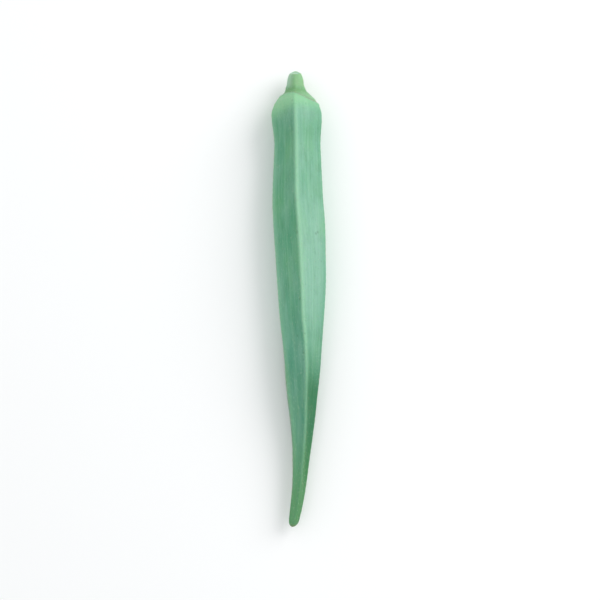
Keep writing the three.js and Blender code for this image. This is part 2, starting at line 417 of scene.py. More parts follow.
@dataclass(frozen=True)
class SkinZones:
    """Where the skin's tones lie, in millimetres along the pod or over its surface.

    What is given for each ridge or facet is in the order of the ridges' angles. A facet follows
    its ridge, and a rib's tint has a width before the ridge and a wider one after it. On the top
    ridge the wider side is the lit side, so there the tint is partly the rib's own paleness and
    partly a painted highlight.
    """

    rib_width: float = 1.1
    rib_tint_and_highlight_widths: tuple[float, float] = (0.45, 1.1)
    # The ridge at the right outline keeps almost no pale tint, which darkens that edge: partly
    # painted shade.
    rib_tints: tuple[float, ...] = (1.0, 0.1, 0.7, 0.7, 0.75)
    midline_width: float = 0.45
    stalk_foot: tuple[float, float] = (5.6, 7.2)
    foot_place: float = 7.3
    foot_width: float = 1.3
    stalk_side: tuple[float, float] = (0.05, 1.0)
    receptacle_edge: tuple[float, float] = (-1.0, -0.2)
    scar_offset: float = 0.75
    scar_width: float = 0.48
    scar_least: float = 0.3
    scar_phase: float = 0.8
    band_start: tuple[float, float] = (-0.9, 0.2)
    band_end: tuple[float, float] = (0.9, 7.2)
    band_tilt: float = 3.3
    # Each facet's pale bloom along the pod, partly its own and partly painted light and shade: the
    # upper right facet, which faces the light, gets the most, the upper left facet, in shade,
    # almost none, and the facet past the right outline little.
    facet_bloom_and_painted_light: tuple[SmoothCurve, ...] = (
        SmoothCurve((
            (10, 0.5), (16, 0.55), (24, 0.48), (40, 0.55), (56, 0.95), (70, 1.0), (80, 0.75),
            (92, 0.3), (102, 0),
        )),
        SmoothCurve(((10, 0.1), (50, 0.15), (90, 0.15), (120, 0.1))),
        SmoothCurve(((10, 0.3), (60, 0.5), (100, 0.4), (125, 0.1))),
        SmoothCurve(((10, 0.35), (55, 0.4), (95, 0.45), (120, 0.2))),
        SmoothCurve(((10, 0.2), (35, 0.03), (60, 0), (95, 0.1), (132, 0.1))),
    )
    facet_thin_bloom: tuple[SmoothCurve, ...] = (
        SmoothCurve(((10, 0.15), (60, 0.1), (90, 0.1), (120, 0))),
        SmoothCurve(((10, 0.3), (70, 0.4), (120, 0.1))),
        SmoothCurve(((10, 0.2), (60, 0.4), (120, 0.1))),
        SmoothCurve(((10, 0.3), (80, 0.4), (120, 0.2))),
        SmoothCurve((
            (10, 0.05), (50, 0.05), (76, 0.25), (90, 0.75), (108, 0.8), (122, 0.4), (136, 0.1),
        )),
    )
    # Each facet's deeper green towards the tip, strongest on the upper right facet: partly the
    # pod's own deeper green, partly painted shade cast by pods that lay beside it.
    facet_deepening_and_shade: tuple[SmoothCurve, ...] = (
        SmoothCurve((
            (72, 0), (84, 0.12), (93, 0.5), (101, 1.0), (122, 1.0), (130, 0.8), (140, 0.7),
        )),
        SmoothCurve(((72, 0), (105, 0.75), (140, 0.75))),
        SmoothCurve(((72, 0), (105, 0.6), (140, 0.7))),
        SmoothCurve(((72, 0), (105, 0.5), (140, 0.6))),
        SmoothCurve(((78, 0), (90, 0.2), (104, 0.33), (114, 0.31), (128, 0.4), (140, 0.48))),
    )
    # How wide each facet's tone fades over at each ridge; the wide fade at the ridge on the right
    # outline darkens that edge, partly painted shade.
    facet_seams: tuple[float, ...] = (0.07, 0.22, 0.2, 0.2, 0.15)

    def over_facets(
        self,
        curves: tuple[SmoothCurve, ...],
        index: np.ndarray,
        across: np.ndarray,
        place: np.ndarray,
    ) -> np.ndarray:
        """Reads each facet's own curve along the pod, and fades over at the ridges.

        Args:
            curves: One curve for each facet.
            index: Number of the facet under each point.
            across: How far across it from 0 to 1.
            place: Places along the pod.

        Returns:
            The value at each point.
        """
        levels = [curve(place) for curve in curves]
        index = np.broadcast_to(index, place.shape)
        further = (index + 1) % len(levels)
        seams = np.array(self.facet_seams)
        before = 0.5 * (1 - smoothstep(across, 0, seams[index]))
        after = 0.5 * smoothstep(across, 1 - seams[further], 1)
        own = np.choose(index, levels) * (1 - before - after)
        beside = np.choose((index - 1) % len(levels), levels) * before
        return own + beside + np.choose(further, levels) * after


@dataclass(frozen=True)
class Mark:
    """A small blemish on the skin: where it is, how wide, and how dark from 0 to 1."""

    place: float
    angle: float
    width: float
    darkness: float


BLEMISHES = (
    Mark(52.9, 45, 0.42, 0.85),
    Mark(52.4, 50, 0.4, 0.75),
    Mark(51.2, -6, 0.35, 0.4),
    Mark(52.5, -13, 0.4, 0.35),
    Mark(53.2, -6, 0.42, 0.75),
    Mark(73.0, -3.5, 0.4, 0.6),
    Mark(45.2, 12, 0.8, 0.2),
    Mark(58.6, 42, 0.3, 0.45),
    Mark(83.9, -12, 0.42, 0.65),
    Mark(88.9, 7, 0.4, 0.6),
    Mark(11.9, -11, 0.6, 0.3),
    Mark(61.5, 41, 0.3, 0.35),
    Mark(71.0, 118, 0.5, 0.6),
    Mark(33.0, 184, 0.6, 0.5),
    Mark(96.0, 240, 0.4, 0.6),
    Mark(27.0, 262, 0.5, 0.4),
    Mark(136.5, 47, 0.45, 0.5),
    Mark(138.2, 60, 0.4, 0.5),
)


@dataclass
class SkinGrid:
    """The pod's surface as rows along it and columns round it.

    The points are in metres, and the untwisted angles in degrees.
    """

    points: np.ndarray
    local: np.ndarray
    on_cut: np.ndarray
    traits: dict[Trait, np.ndarray]

    @property
    def place(self) -> np.ndarray:
        """Place of each point along the pod."""
        return self.traits[Trait.PLACE]


@dataclass
class PodSurface:
    """Works out the fine grid that the skin and the hairs share."""

    form: PodForm = field(default_factory=PodForm)
    relief: FineRelief = field(default_factory=FineRelief)
    zones: SkinZones = field(default_factory=SkinZones)
    columns_per_facet: int = 38
    crest_crowding: float = 0.35
    cut_rings: int = 14
    cut_edge: float = 0.86
    rim: Stations = ((0.02, 0.91), (0.06, 0.95), (0.12, 0.98))
    rim_end: float = 0.2
    tip_rings: int = 18
    row_step: SmoothCurve = SmoothCurve((
        (0, 0.12), (2, 0.25), (6, 0.16), (13, 0.2), (18, 0.4), (110, 0.42), (130, 0.3), (136, 0.16),
    ))

    def column_angles(self) -> np.ndarray:
        """Spaces the columns, closer together near the ridges.

        Returns:
            The untwisted angle of each column, with the first one's again at the end.
        """
        start, span, _, _ = self.form.facets()
        t = np.arange(self.columns_per_facet) / self.columns_per_facet
        eased = t - self.crest_crowding * np.sin(2 * np.pi * t) / (2 * np.pi)
        angles = (start[:, None] + span[:, None] * eased).ravel()
        return np.append(angles, angles[0] + 360)

    def rows(self) -> tuple[np.ndarray, np.ndarray, np.ndarray]:
        """Spaces the rows from the middle of the cut to the tip.

        Returns:
            Each row's place, its share of the radius, and whether it lies on the cut.
        """
        places = [0.0] * self.cut_rings
        shares = list(np.linspace(0, self.cut_edge, self.cut_rings))
        for place, share in self.rim:
            places.append(place)
            shares.append(share)
        place = self.rim_end
        while place < self.form.tip_round_start:
            places.append(place)
            shares.append(1.0)
            place += float(self.row_step(place))
        turns = np.linspace(0, math.pi / 2, self.tip_rings)
        reach = self.form.length - self.form.tip_round_start
        places += list(self.form.tip_round_start + reach * np.sin(turns))
        shares += list(np.cos(turns[:-1])) + [0.0]
        on_cut = np.arange(len(places)) < self.cut_rings
        return np.array(places), np.array(shares), on_cut

    def build(self) -> SkinGrid:
        """Places every point of the skin.

        Returns:
            The grid, in metres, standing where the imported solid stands.
        """
        form = self.form
        row_place, row_share, on_cut = self.rows()
        base, share, cut = row_place[:, None], row_share[:, None], on_cut[:, None]
        angle = self.column_angles()[None, :] + form.twist(base)
        turn = np.radians(angle)
        slant = form.cut_radius * math.tan(math.radians(form.cut_lean))
        fade = 1 - smoothstep(base, 0, form.cut_fade)
        cut_shift = slant * (1 + share * np.cos(turn)) * fade
        near_ring = smoothstep(base, *form.ring_rows_start)
        near_ring = near_ring * (1 - smoothstep(base, *form.ring_rows_end))
        ring_shift = (form.ring_at(angle) - form.ring_place - form.ring_sag / 2) * near_ring
        sink = np.where(cut, form.cut_sink * (1 - share**2), 0)
        place = base + cut_shift + ring_shift + sink
        local = angle - form.twist(place)
        radius = share * (form.outer_radius(place, angle) + self.fine_height(place, local, cut))
        points = np.stack(
            (
                form.sway(place) + radius * np.sin(turn),
                form.length / 2 - place,
                form.middle_height(place) + radius * np.cos(turn),
            ),
            axis=-1,
        )
        on_cut = np.broadcast_to(cut, place.shape)
        traits = self.traits(place, angle, local)
        traits[Trait.CUT_REACH] = np.broadcast_to(share / self.cut_edge, place.shape)
        return SkinGrid(self.set_down(points), local, on_cut, traits)

    def fine_height(self, place: np.ndarray, local: np.ndarray, cut: np.ndarray) -> np.ndarray:
        """Works out the fine relief over the plain form.

        Args:
            place: Place of each point along the pod.
            local: Its untwisted angle in degrees.
            cut: Whether it lies on the cut.

        Returns:
            The height of the relief in millimetres, which is nought on the cut.
        """
        form, relief = self.form, self.relief
        from_ridge, from_middle = form.beside_ridges(local, place)
        share = form.ridge_share(place)
        slim = np.minimum(1, form.crest_radius(place) / relief.streak_full_radius)
        on_stalk = 1 - smoothstep(place, *self.zones.stalk_foot)
        depth = relief.streak_height * slim + relief.stalk_groove_height * on_stalk
        streak = depth * relief.streaks(local, place)
        suture = relief.suture_depth * bell(from_middle, relief.suture_width) * share * slim
        wave = np.sin(2 * np.pi * place / relief.bead_length)
        beads = relief.bead_height * wave * bell(from_ridge, relief.bead_width) * share
        pits = relief.pit_depth * self.marks(place, local + form.twist(place))
        return np.where(cut, 0, streak - suture + beads - pits)

    def marks(self, place: np.ndarray, angle: np.ndarray) -> np.ndarray:
        """Works out how strongly the blemishes cover each point.

        Args:
            place: Place of each point along the pod.
            angle: Its angle round the pod in degrees.

        Returns:
            The cover from 0 to 1.
        """
        total = np.zeros(np.broadcast(place, angle).shape)
        for mark in BLEMISHES:
            turned = (angle - mark.angle + 180) % 360 - 180
            round_it = np.radians(turned) * self.form.crest_radius(place)
            reach = np.hypot(place - mark.place, round_it * self.relief.pit_narrowing)
            spot = bell(reach, mark.width)
            total = np.maximum(total, spot * mark.darkness)
        return total

    def traits(
        self, place: np.ndarray, angle: np.ndarray, local: np.ndarray
    ) -> dict[Trait, np.ndarray]:
        """Works out what the materials read.

        Args:
            place: Place of each point along the pod.
            angle: Angle of each point round it.
            local: The same angle with the pod's twist taken out.

        Returns:
            The value of each trait at each point.
        """
        form, zones = self.form, self.zones
        index, across, _ = form.facet_at(local)
        from_ridge, from_middle = form.beside_ridges(local, place)
        from_ring = place - form.ring_at(angle)
        on_body = smoothstep(place, *zones.stalk_foot)
        sideways = np.sin(np.radians(angle))
        fading = smoothstep(from_ring + zones.band_tilt * sideways, *zones.band_end)
        band = smoothstep(from_ring, *zones.band_start) * (1 - fading)
        clear = np.sin(np.radians(angle) + zones.scar_phase) ** 2
        unbroken = zones.scar_least + (1 - zones.scar_least) * clear
        rib = bell(from_ridge, zones.rib_width) * form.ridge_share(place)
        ridge = np.where(across < 0.5, index, (index + 1) % len(zones.rib_tints))
        # The pale tint reaches further on the side after each ridge; on the top ridge that is its
        # lit side, where the tint is partly a painted highlight.
        before, after = zones.rib_tint_and_highlight_widths
        bare_and_lit_width = np.where(across < 0.5, after, before)
        bare_and_lit = bell(from_ridge, bare_and_lit_width) * form.ridge_share(place)
        facet_place = (index, across, place)
        return {
            Trait.PLACE: place,
            Trait.RIB: rib,
            Trait.RIB_TINT: bare_and_lit * np.array(zones.rib_tints)[ridge],
            Trait.MIDLINE: bell(from_middle, zones.midline_width),
            Trait.STREAK: self.relief.streaks(local, place),
            Trait.BLOOM_AND_PAINTED_LIGHT: zones.over_facets(zones.facet_bloom_and_painted_light, *facet_place),
            Trait.THIN_BLOOM: zones.over_facets(zones.facet_thin_bloom, *facet_place),
            Trait.STALK: 1 - on_body,
            Trait.STALK_SIDE: (1 - on_body) * smoothstep(-sideways, *zones.stalk_side),
            Trait.STALK_FOOT: bell(place - zones.foot_place, zones.foot_width) * (1 - band),
            Trait.RECEPTACLE: on_body * (1 - smoothstep(from_ring, *zones.receptacle_edge)),
            Trait.SCAR: bell(from_ring + zones.scar_offset, zones.scar_width) * unbroken,
            Trait.CAP_BAND: band,
            Trait.DEEPENING_AND_SHADE: zones.over_facets(zones.facet_deepening_and_shade, *facet_place),
            Trait.MARK: self.marks(place, angle),
        }

    def set_down(self, points: np.ndarray) -> np.ndarray:
        """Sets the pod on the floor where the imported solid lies.

        Args:
            points: The skin's points in millimetres.

        Returns:
            The same points in metres, resting at the solid's place.
        """
        floor = points[..., 2].min() + self.form.rest_flat
        points[..., 2] = np.maximum(points[..., 2], floor) - floor
        low, high = (np.array(corner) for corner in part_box(POD_NODE))
        middle = (points.min(axis=(0, 1)) + points.max(axis=(0, 1))) / 2
        points[..., :2] += ((low + high) / 2 / MM - middle)[:2]
        return points * MM


def clear_selection() -> None:
    """Deselects everything, so that an operator acts on nothing else."""
    bpy.ops.object.select_all(action="DESELECT")


def active_piece(name: str) -> bpy.types.Object:
    """Names the object that was just added, and its mesh.

    Args:
        name: The name that both take.

    Returns:
        The object.
    """
    piece = bpy.context.object
    piece.name = name
    piece.data.name = name
    return piece


def add_node(
    tree: bpy.types.NodeTree,
    kind: str,
    settings: dict[str | int, object] | None = None,
    links: dict[str | int, object] | None = None,
) -> bpy.types.Node:
    """Adds a node with its settings and links.

    Args:
        tree: The material's node tree.
        kind: Blender's name for the kind of node.
        settings: Values by property name, or by the input's name or number.
        links: Output sockets by the name or number of the input they go to.

    Returns:
        The new node.
    """
    node = tree.nodes.new(kind)
    for name, value in (settings or {}).items():
        if isinstance(name, str) and hasattr(node, name):
            setattr(node, name, value)
        else:
            node.inputs[name].default_value = value
    for name, socket in (links or {}).items():
        tree.links.new(socket, node.inputs[name])
    return node


def start_material(
    name: str, values: dict[str, object]
) -> tuple[bpy.types.Material, bpy.types.NodeTree, bpy.types.Node]:
    """Starts a material and sets its shader.

    Args:
        name: What the real material is.
        values: Values of the shader's own sockets, by name.

    Returns:
        The material, its node tree and its shader.
    """
    material = bpy.data.materials.new(name)
    material.use_nodes = True
    tree = material.node_tree
    shader = tree.nodes["Principled BSDF"]
    for socket, value in values.items():
        shader.inputs[socket].default_value = value
    return material, tree, shader


@dataclass(frozen=True)
class Layer:
    """One colour laid over the skin, which fades in between two values of what drives it.

    A trait of the skin drives it, or else noise of a size in millimetres, drawn out along the pod.
    """

    colour: str
    low: float
    high: float
    share: float
    trait: Trait | None = None
    size_mm: float = 1.0
    stretch: float = 1.0
    detail: float = 3.0


@dataclass(frozen=True)
class Bump:
    """Noise that raises the skin: its width and height in millimetres, and how far drawn out."""

    size_mm: float
    stretch: float
    height_mm: float
    strength: float
    detail: float = 2.0


def drawn_noise(
    tree: bpy.types.NodeTree,
    coordinates: bpy.types.NodeSocket,
    size_mm: float,
    stretch: float,
    detail: float = 3.0,
) -> bpy.types.NodeSocket:
    """Makes noise that is drawn out along the pod.

    Args:
        tree: The material's node tree.
        coordinates: Where the pattern is read, in metres.
        size_mm: Width of its patches.
        stretch: How many times longer than wide they are.
        detail: Octaves of finer noise in it.

    Returns:
        The noise from 0 to 1.
    """
    mapping = add_node(
        tree, "ShaderNodeMapping", {"Scale": (1.0, 1.0 / stretch, 1.0)}, {"Vector": coordinates}
    )
    settings = {
        "Scale": 1.0 / (size_mm * MM),
        "Detail": detail,
        "Roughness": NOISE_ROUGHNESS,
    }
    links = {"Vector": mapping.outputs["Vector"]}
    return add_node(tree, "ShaderNodeTexNoise", settings, links).outputs["Fac"]


def lay_over(
    tree: bpy.types.NodeTree,
    under: bpy.types.NodeSocket,
    layer: Layer,
    driver: bpy.types.NodeSocket,
) -> bpy.types.NodeSocket:
    """Lays a layer's colour over another colour.

    Args:
        tree: The material's node tree.
        under: The colour so far.
        layer: The colour that goes over it, and where.
        driver: The value that fades it in.

    Returns:
        The blended colour.
    """
    settings = {"From Min": layer.low, "From Max": layer.high, "To Min": 0.0, "To Max": layer.share}
    share = add_node(tree, "ShaderNodeMapRange", settings, {"Value": driver})
    mix = add_node(
        tree,
        "ShaderNodeMix",
        {"data_type": "RGBA", MIX_OVER: linear(layer.colour)},
        {MIX_SHARE: share.outputs["Result"], MIX_UNDER: under},
    )
    return mix.outputs[MIX_RESULT]


@dataclass(frozen=True)
class OkraSkinFinish:
    """Fresh okra skin: a grown, waxy cuticle under a fine felt, so satin to the eye, never glossy.

    The facets carry a thin bloom that turns them blue-green, and the ribs, without it, are
    paler. Painted light and shade lie in some of its tones: in the facets' bloom, in the deep
    green towards the tip, in the ribs' pale tint and in the streaks' furrows.
    """

    facet: str = "#4c9870"
    bloom: str = "#95bfab"
    thin_bloom: str = "#559984"
    shade: str = "#3d7c57"
    leaf_green: str = "#6db06b"
    # Deep green towards the tip, partly painted shade.
    deep_green_and_shade: str = "#1b6a3e"
    tip: str = "#558d3e"
    rib: str = "#8abf9c"
    stalk: str = "#86b67f"
    stalk_side: str = "#abceb8"
    stalk_foot: str = "#5f985c"
    receptacle: str = "#83b381"
    cap_band: str = "#8dc894"
    scar: str = "#748a6c"
    speckle: str = "#38704a"
    blemish: str = "#3d6a4b"
    tip_scar: str = "#86734f"
    roughness: tuple[float, float] = (0.42, 0.56)
    roughness_noise: tuple[float, float] = (0.3, 0.7)
    roughness_mm: float = 1.6
    roughness_stretch: float = 3.0
    ior: float = 1.43
    felt: float = 0.07
    felt_roughness: float = 0.45
    felt_tint: str = "#d9efdc"
    flesh: float = 0.12
    flesh_reach: tuple[float, float, float] = (0.5, 1.0, 0.4)
    flesh_depth_mm: float = 1.2
    wart_spacing_mm: float = 0.7
    wart_radius_mm: float = 0.13
    wart_height_mm: float = 0.05
    wart_strength: float = 0.5

    def layers(self) -> tuple[Layer, ...]:
        """Lists the colours over the facets' green, from the bloom outward to the blemishes.

        Returns:
            The layers, in the order in which they are laid.
        """
        return (
            # Each facet's bloom, partly painted light and shade.
            Layer(self.bloom, 0.0, 1.0, 0.62, Trait.BLOOM_AND_PAINTED_LIGHT),
            Layer(self.thin_bloom, 0.0, 1.0, 0.8, Trait.THIN_BLOOM),
            Layer(self.bloom, 0.38, 0.72, 0.35, size_mm=4.2, stretch=3.0),
            Layer(self.shade, 0.5, 0.8, 0.4, size_mm=3.0, stretch=2.2),
            Layer(self.leaf_green, 0.5, 0.8, 0.35, size_mm=6.5, stretch=2.5),
            # Paler on the streaks' crests and darker in their furrows; the darkening in the furrows
            # is painted shade.
            Layer(self.bloom, -0.2, 1.8, 0.22, Trait.STREAK),
            Layer(self.shade, 0.2, -1.8, 0.22, Trait.STREAK),
            Layer(self.rib, 0.5, 0.8, 0.22, size_mm=0.4, stretch=26.0),
            Layer(self.shade, 0.52, 0.85, 0.3, size_mm=0.6, stretch=11.0),
            Layer(self.rib, 0.2, 1.0, 0.2, Trait.MIDLINE),
            # Pale rib tint, partly a painted highlight on the top ridge's lit side.
            Layer(self.rib, 0.1, 1.0, 0.75, Trait.RIB_TINT),
            # Deeper green towards the tip: partly the pod's own, partly painted shade.
            Layer(self.deep_green_and_shade, 0.0, 1.0, 0.93, Trait.DEEPENING_AND_SHADE),
            Layer(self.rib, 0.6, 0.95, 0.3, Trait.RIB_TINT),
            Layer(self.tip, 110.0, 130.0, 0.4, Trait.PLACE),
            Layer(self.cap_band, 0.0, 1.0, 0.7, Trait.CAP_BAND),
            Layer(self.receptacle, 0.0, 1.0, 0.8, Trait.RECEPTACLE),
            Layer(self.stalk, 0.0, 1.0, 0.85, Trait.STALK),
            Layer(self.stalk_side, 0.0, 1.0, 0.7, Trait.STALK_SIDE),
            Layer(self.stalk_foot, 0.0, 1.0, 0.7, Trait.STALK_FOOT),
            Layer(self.scar, 0.2, 1.0, 0.75, Trait.SCAR),
            Layer(self.speckle, 0.66, 0.78, 0.4, size_mm=0.55, detail=1.0),
            Layer(self.blemish, 0.1, 0.9, 0.85, Trait.MARK),
            Layer(self.tip_scar, 139.2, 140.0, 0.5, Trait.PLACE),
        )

    def bumps(self) -> tuple[Bump, ...]:
        """Lists the grain of the epidermis, a little coarser than life so that it shows.

        Returns:
            The bumps, in the order in which they are laid.
        """
        return (
            Bump(size_mm=0.28, stretch=4.0, height_mm=0.05, strength=0.35),
            Bump(size_mm=0.45, stretch=22.0, height_mm=0.07, strength=0.35),
            Bump(size_mm=1.8, stretch=2.5, height_mm=0.12, strength=0.3),
        )

    def build(self) -> bpy.types.Material:
        """Makes the material.

        Returns:
            The finished skin material.
        """
        values = {
            "IOR": self.ior,
            "Sheen Weight": self.felt,
            "Sheen Roughness": self.felt_roughness,
            "Sheen Tint": linear(self.felt_tint),
            "Subsurface Weight": self.flesh,
            "Subsurface Radius": self.flesh_reach,
            "Subsurface Scale": self.flesh_depth_mm * MM,
        }
        material, tree, shader = start_material("fresh_okra_skin", values)
        grown = add_node(tree, "ShaderNodeAttribute", {"attribute_name": "grown"}).outputs["Vector"]
        tree.links.new(self.colour(tree, grown), shader.inputs["Base Color"])
        tree.links.new(self.relief(tree, grown), shader.inputs["Normal"])
        low, high = self.roughness
        least, most = self.roughness_noise
        patches = drawn_noise(tree, grown, self.roughness_mm, self.roughness_stretch)
        dullness = add_node(
            tree,
            "ShaderNodeMapRange",
            {"From Min": least, "From Max": most, "To Min": low, "To Max": high},
            {"Value": patches},
        )
        tree.links.new(dullness.outputs["Result"], shader.inputs["Roughness"])
        return material

    def colour(
        self, tree: bpy.types.NodeTree, grown: bpy.types.NodeSocket
    ) -> bpy.types.NodeSocket:
        """Lays every colour over the facets' green.

        Args:
            tree: The material's node tree.
            grown: Coordinates that follow the ridges along the pod.

        Returns:
            The skin's colour.
        """
        base = add_node(tree, "ShaderNodeRGB")
        base.outputs[0].default_value = linear(self.facet)
        tint = base.outputs[0]
        for layer in self.layers():
            if layer.trait:
                settings = {"attribute_name": layer.trait.value}
                driver = add_node(tree, "ShaderNodeAttribute", settings).outputs["Fac"]
            else:
                driver = drawn_noise(tree, grown, layer.size_mm, layer.stretch, layer.detail)
            tint = lay_over(tree, tint, layer, driver)
        return tint

    def relief(
        self, tree: bpy.types.NodeTree, grown: bpy.types.NodeSocket
    ) -> bpy.types.NodeSocket:
        """Raises the grain of the epidermis, and a small wart at the foot of each fine hair.

        Args:
            tree: The material's node tree.
            grown: Coordinates that follow the ridges along the pod.

        Returns:
            The skin's bumped normal.
        """
        cells = add_node(
            tree,
            "ShaderNodeTexVoronoi",
            {"Scale": 1 / (self.wart_spacing_mm * MM)},
            {"Vector": grown},
        )
        reach = self.wart_radius_mm / self.wart_spacing_mm
        warts = add_node(
            tree,
            "ShaderNodeMapRange",
            {"From Min": reach, "From Max": 0.0},
            {"Value": cells.outputs["Distance"]},
        )
        node = add_node(
            tree,
            "ShaderNodeBump",
            {"Strength": self.wart_strength, "Distance": self.wart_height_mm * MM},
            {"Height": warts.outputs["Result"]},
        )
        for bump in self.bumps():
            noise = drawn_noise(tree, grown, bump.size_mm, bump.stretch, bump.detail)
            settings = {"Strength": bump.strength, "Distance": bump.height_mm * MM}
            links = {"Height": noise, "Normal": node.outputs["Normal"]}
            node = add_node(tree, "ShaderNodeBump", settings, links)
        return node.outputs["Normal"]


@dataclass(frozen=True)
class CutPithFinish:
    """Cut end of the stalk: moist pale pith in a ring of vessels and a green rind, partly dried."""

    pith: str = "#a6cbb0"
    vessels: str = "#7fae8c"
    rind: str = "#98c4a2"
    edge: str = "#7fae82"
    dried: str = "#b3a983"
    roughness: float = 0.6
    flesh: float = 0.15
    flesh_depth_mm: float = 1.0
    cell_mm: float = 0.1
    cell_height_mm: float = 0.04
    cell_strength: float = 0.4
    bundle_mm: float = 0.34
    patch_mm: float = 0.9
    ragged_mm: float = 0.5
    ragged_noise: tuple[float, float] = (0.2, 0.8)
    ragged_share: float = 0.16

    def build(self) -> bpy.types.Material:
        """Makes the material.

        Returns:
            The finished pith material.
        """
        values = {
            "Roughness": self.roughness,
            "Subsurface Weight": self.flesh,
            "Subsurface Scale": self.flesh_depth_mm * MM,
        }
        material, tree, shader = start_material("cut_okra_pith", values)
        place = add_node(tree, "ShaderNodeTexCoord").outputs["Object"]
        reach = add_node(
            tree, "ShaderNodeAttribute", {"attribute_name": Trait.CUT_REACH.value}
        ).outputs["Fac"]
        least, most = self.ragged_noise
        sway = add_node(
            tree,
            "ShaderNodeMapRange",
            {"From Min": least, "From Max": most, "To Min": -1.0, "To Max": 1.0},
            {"Value": drawn_noise(tree, place, self.ragged_mm, 1.0)},
        )
        ragged = add_node(
            tree,
            "ShaderNodeMath",
            {"operation": "MULTIPLY_ADD", 1: self.ragged_share},
            {0: sway.outputs["Result"], 2: reach},
        )
        rings = add_node(tree, "ShaderNodeValToRGB", None, {"Fac": ragged.outputs["Value"]})
        stops = (
            (0.0, self.pith),
            (0.5, self.pith),
            (0.68, self.vessels),
            (0.8, self.rind),
            (1.0, self.edge),
        )
        self.set_stops(rings.color_ramp, stops)
        tint = rings.outputs["Color"]
        bundles = drawn_noise(tree, place, self.bundle_mm, 1.0, 1.0)
        tint = lay_over(tree, tint, Layer(self.pith, 0.5, 0.7, 0.6), bundles)
        patches = drawn_noise(tree, place, self.patch_mm, 1.0)
        tint = lay_over(tree, tint, Layer(self.dried, 0.52, 0.8, 0.6), patches)
        tree.links.new(tint, shader.inputs["Base Color"])
        cells = add_node(
            tree, "ShaderNodeTexVoronoi", {"Scale": 1 / (self.cell_mm * MM)}, {"Vector": place}
        )
        bump = add_node(
            tree,
            "ShaderNodeBump",
            {"Strength": self.cell_strength, "Distance": self.cell_height_mm * MM},
            {"Height": cells.outputs["Distance"]},
        )
        tree.links.new(bump.outputs["Normal"], shader.inputs["Normal"])
        return material

    @staticmethod
    def set_stops(ramp: bpy.types.ColorRamp, stops: tuple[tuple[float, str], ...]) -> None:
        """Gives a colour ramp its stops, from the middle of the cut outward.

        Args:
            ramp: The ramp, with fewer stops than it needs.
            stops: Place and hex colour of each stop.
        """
        for _ in range(len(stops) - len(ramp.elements)):
            ramp.elements.new(1.0)
        for element, (place, colour) in zip(ramp.elements, stops):
            element.position = place
            element.color = linear(colour)


@dataclass(frozen=True)
class HairFinish:
    """Plant hairs: clear thin-walled cells that look silvery green against the skin."""

    colour: str = "#c9e0c4"
    dull_colour: str = "#a9c9a2"
    patch_mm: float = 2.5
    roughness: float = 0.45
    clearness: float = 0.3
    clear_depth_mm: float = 0.3

    def build(self) -> bpy.types.Material:
        """Makes the material.

        Returns:
            The finished hair material.
        """
        values = {
            "Roughness": self.roughness,
            "Subsurface Weight": self.clearness,
            "Subsurface Scale": self.clear_depth_mm * MM,
        }
        material, tree, shader = start_material("clear_plant_hair", values)
        place = add_node(tree, "ShaderNodeTexCoord").outputs["Object"]
        tone = add_node(
            tree, "ShaderNodeTexNoise", {"Scale": 1 / (self.patch_mm * MM)}, {"Vector": place}
        )
        ramp = add_node(tree, "ShaderNodeValToRGB", None, {"Fac": tone.outputs["Fac"]})
        ramp.color_ramp.elements[0].color = linear(self.dull_colour)
        ramp.color_ramp.elements[1].color = linear(self.colour)
        tree.links.new(ramp.outputs["Color"], shader.inputs["Base Color"])
        return material


@dataclass(frozen=True)
class FloorFinish:
    """Plain white card with the faint tooth of uncoated paper."""

    colour: str = "#f7f7f6"
    roughness: float = 0.9
    specular: float = 0.1
    tooth_mm: float = 0.6
    tooth_height_mm: float = 0.05
    tooth_strength: float = 0.1

    def build(self) -> bpy.types.Material:
        """Makes the material.

        Returns:
            The finished card material.
        """
        values = {
            "Base Color": linear(self.colour),
            "Roughness": self.roughness,
            "Specular IOR Level": self.specular,
        }
        material, tree, shader = start_material("plain_white_card", values)
        place = add_node(tree, "ShaderNodeTexCoord").outputs["Object"]
        tooth = add_node(
            tree, "ShaderNodeTexNoise", {"Scale": 1 / (self.tooth_mm * MM)}, {"Vector": place}
        )
        bump = add_node(
            tree,
            "ShaderNodeBump",
            {"Strength": self.tooth_strength, "Distance": self.tooth_height_mm * MM},
            {"Height": tooth.outputs["Fac"]},
        )
        tree.links.new(bump.outputs["Normal"], shader.inputs["Normal"])
        return material


